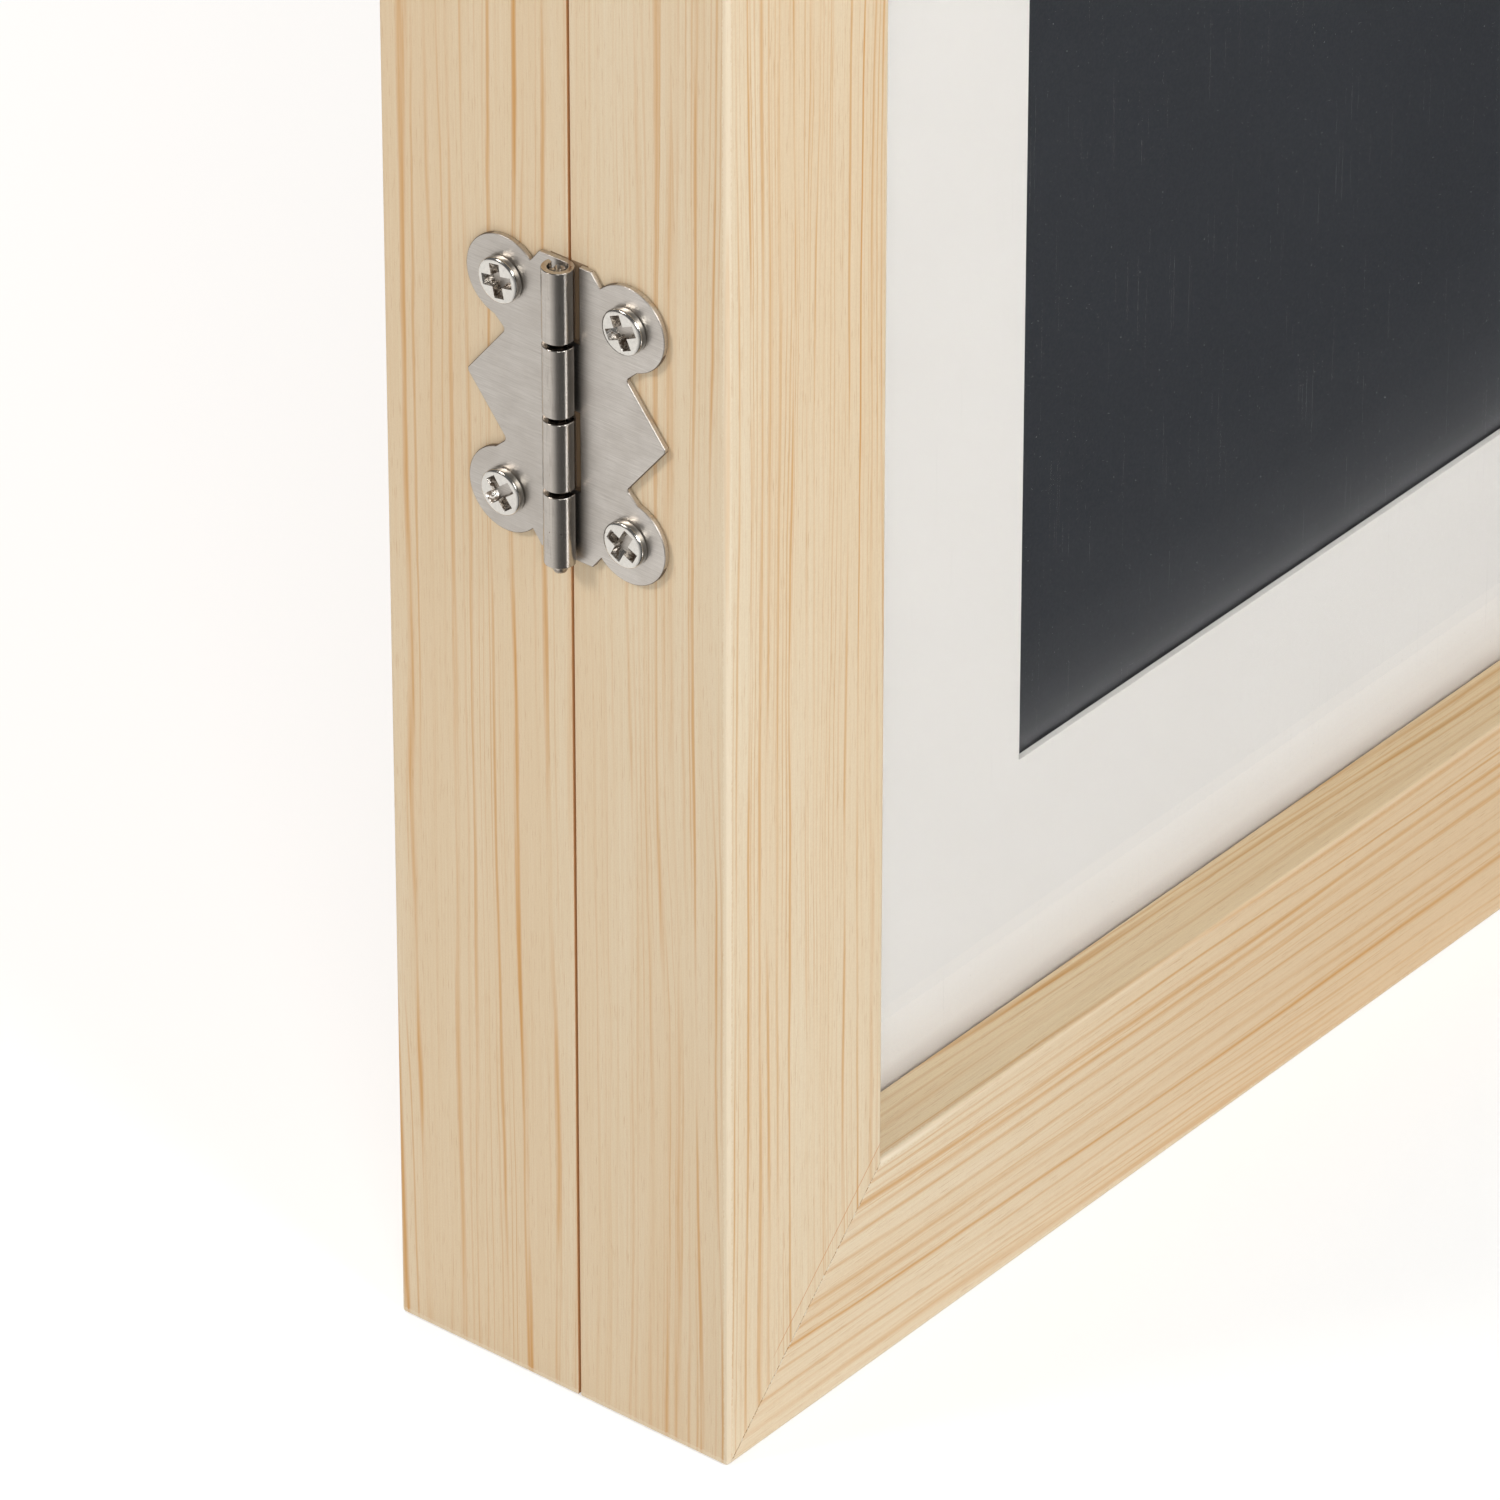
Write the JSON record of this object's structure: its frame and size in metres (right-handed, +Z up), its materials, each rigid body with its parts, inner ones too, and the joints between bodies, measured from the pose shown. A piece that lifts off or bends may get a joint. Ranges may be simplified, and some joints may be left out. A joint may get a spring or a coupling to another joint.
{
  "type": "childrens art frame",
  "caption": "Front-opening wall frame: a mitred wooden door on butterfly hinges, with glazing and mat, closes on a shallow case with a sprung backing board for a stack of drawings.",
  "frame": {"origin": "middle of the wooden frame's underside, half-way between its front and back faces", "axes": "+X to the right seen from the front, +Y into the wall, +Z up; the front faces -Y and the hinges are at -X"},
  "size_m": [0.2988, 0.0375, 0.3536],
  "materials": {
    "pale_wood": "smooth matte lacquer over pale straight-grained wood",
    "fibreboard": "raw brown hardboard",
    "hinge_nickel": "satin nickel plate",
    "screw_nickel": "bright nickel plate",
    "zinc_steel": "zinc-plated strip",
    "spring_steel": "drawn spring wire",
    "magnet": "nickel-plated magnet",
    "clear_acrylic": "clear polished sheet",
    "mat_card": "off-white matte card",
    "dark_board": "smooth dark slate coating, satin",
    "black_elastic": "woven elastic tape",
    "clear_rubber": "soft translucent bumper"
  },
  "bodies": {
    "case": {"case_rail_bottom": "pale_wood", "case_rail_left": "pale_wood", "case_rail_top": "pale_wood", "case_rail_right": "pale_wood", "back_panel": "fibreboard", "panel_point_left_a": "zinc_steel", "panel_point_left_b": "zinc_steel", "panel_point_right_a": "zinc_steel", "panel_point_right_b": "zinc_steel", "catch_magnet_lower": "magnet", "catch_magnet_upper": "magnet", "hanger_portrait": "zinc_steel", "hanger_portrait_nail_a": "zinc_steel", "hanger_portrait_nail_b": "zinc_steel", "hanger_landscape": "zinc_steel", "hanger_landscape_nail_a": "zinc_steel", "hanger_landscape_nail_b": "zinc_steel", "wall_bumper_lower_left": "clear_rubber", "wall_bumper_lower_right": "clear_rubber", "wall_bumper_upper_left": "clear_rubber", "wall_bumper_upper_right": "clear_rubber", "board_spring_lower_left": "spring_steel", "board_spring_lower_right": "spring_steel", "board_spring_upper_left": "spring_steel", "board_spring_upper_right": "spring_steel", "lower_hinge_case_leaf": "hinge_nickel", "lower_hinge_pin": "hinge_nickel", "lower_hinge_case_screw_top": "screw_nickel", "lower_hinge_case_screw_low": "screw_nickel", "upper_hinge_case_leaf": "hinge_nickel", "upper_hinge_pin": "hinge_nickel", "upper_hinge_case_screw_top": "screw_nickel", "upper_hinge_case_screw_low": "screw_nickel"},
    "door": {"door_rail_bottom": "pale_wood", "door_rail_left": "pale_wood", "door_rail_top": "pale_wood", "door_rail_right": "pale_wood", "glazing_sheet": "clear_acrylic", "mat_board": "mat_card", "mat_point_left_a": "zinc_steel", "mat_point_left_b": "zinc_steel", "mat_point_right_a": "zinc_steel", "mat_point_right_b": "zinc_steel", "mat_point_top_a": "zinc_steel", "mat_point_bottom_a": "zinc_steel", "catch_strike_lower": "zinc_steel", "catch_strike_upper": "zinc_steel", "lower_hinge_door_leaf": "hinge_nickel", "lower_hinge_door_screw_top": "screw_nickel", "lower_hinge_door_screw_low": "screw_nickel", "upper_hinge_door_leaf": "hinge_nickel", "upper_hinge_door_screw_top": "screw_nickel", "upper_hinge_door_screw_low": "screw_nickel"},
    "board": {"backing_board": "dark_board", "corner_strap_lower_left": "black_elastic", "corner_strap_lower_right": "black_elastic", "corner_strap_upper_left": "black_elastic", "corner_strap_upper_right": "black_elastic"}
  },
  "joints": [
    {"name": "door_hinge", "type": "hinge", "parent": "case", "child": "door", "pos_m": [-0.14943, -0.0017, 0.1768], "axis": [0, 0, -1], "range_deg": [0, 175]},
    {"name": "board_slide", "type": "slide", "parent": "case", "child": "board", "axis": [0, 1, 0], "range_m": [0, 0.014], "stiffness_N_per_m": 240, "deforming": ["board_spring_lower_left", "board_spring_lower_right", "board_spring_upper_left", "board_spring_upper_right"]}
  ]
}
